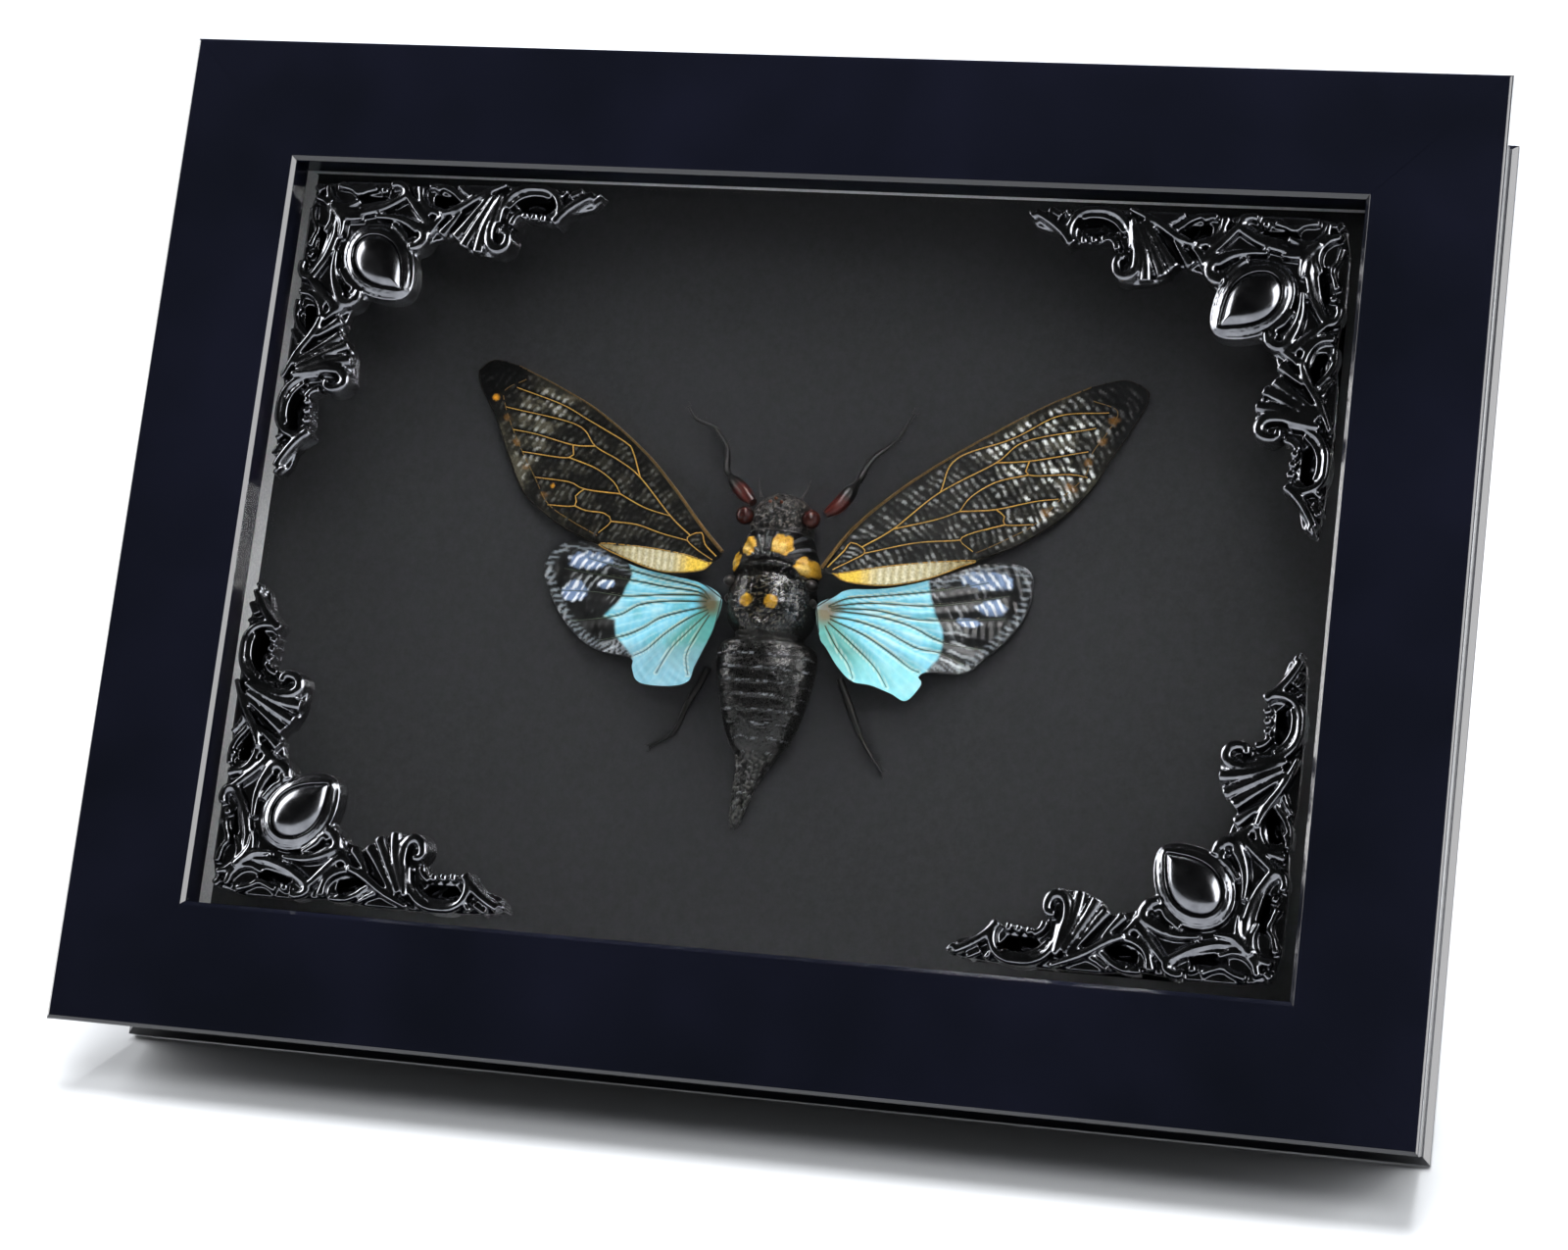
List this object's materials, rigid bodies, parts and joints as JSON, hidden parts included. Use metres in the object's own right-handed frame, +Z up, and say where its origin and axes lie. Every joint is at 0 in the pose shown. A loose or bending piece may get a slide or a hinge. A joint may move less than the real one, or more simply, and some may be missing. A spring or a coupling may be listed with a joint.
{
  "type": "framed insect specimen",
  "caption": "Dried cicada with turquoise hind wings, spread on black card behind glass in a deep black frame with cast scroll corners and an easel strut.",
  "frame": {"origin": "centre of the whole object's footprint, on the surface it stands on", "axes": "+Z up, +X to the right along the frame's width, -Y towards the viewer; the frame's face leans back 25.8 degrees from upright"},
  "size_m": [0.2124, 0.1042, 0.1572],
  "materials": {
    "black_moulding": "satin black paint",
    "clear_glass": "clear",
    "grey_board": "matte, rough cut edge",
    "black_card": "matte",
    "foam_board": "matte",
    "hardboard": "matte",
    "blued_steel": "satin",
    "bright_steel": "satin",
    "black_strut": "matte black",
    "black_casting": "gloss black",
    "insect_shell": "satin, finely rough",
    "dark_wing": "thin veined membrane",
    "turquoise_wing": "thin veined membrane"
  },
  "bodies": {
    "frame": {"rail_top": "black_moulding", "rail_bottom": "black_moulding", "rail_left": "black_moulding", "rail_right": "black_moulding", "glass_pane": "clear_glass", "spacer_top": "grey_board", "spacer_bottom": "grey_board", "spacer_left": "grey_board", "spacer_right": "grey_board", "backing_card": "black_card", "foam_board": "foam_board", "back_panel": "hardboard", "retainer_point_1": "blued_steel", "retainer_point_2": "blued_steel", "retainer_point_3": "blued_steel", "retainer_point_4": "blued_steel", "retainer_point_5": "blued_steel", "retainer_point_6": "blued_steel", "hinge_plate": "bright_steel", "hinge_pin": "bright_steel", "corner_top_left": "black_casting", "corner_top_right": "black_casting", "corner_bottom_right": "black_casting", "corner_bottom_left": "black_casting", "cicada_body": "insect_shell", "forewing_left": "dark_wing", "forewing_right": "dark_wing", "hindwing_left": "turquoise_wing", "hindwing_right": "turquoise_wing", "foreleg_left": "insect_shell", "foreleg_right": "insect_shell", "hindleg_left": "insect_shell", "hindleg_right": "insect_shell"},
    "strut": {"strut": "black_strut", "hinge_strap": "bright_steel"}
  },
  "joints": [
    {"name": "strut_hinge", "type": "hinge", "parent": "frame", "child": "strut", "pos_m": [0, 0.02885, 0.10498], "axis": [1, 0, 0], "range_deg": [-37.6, 0]}
  ]
}
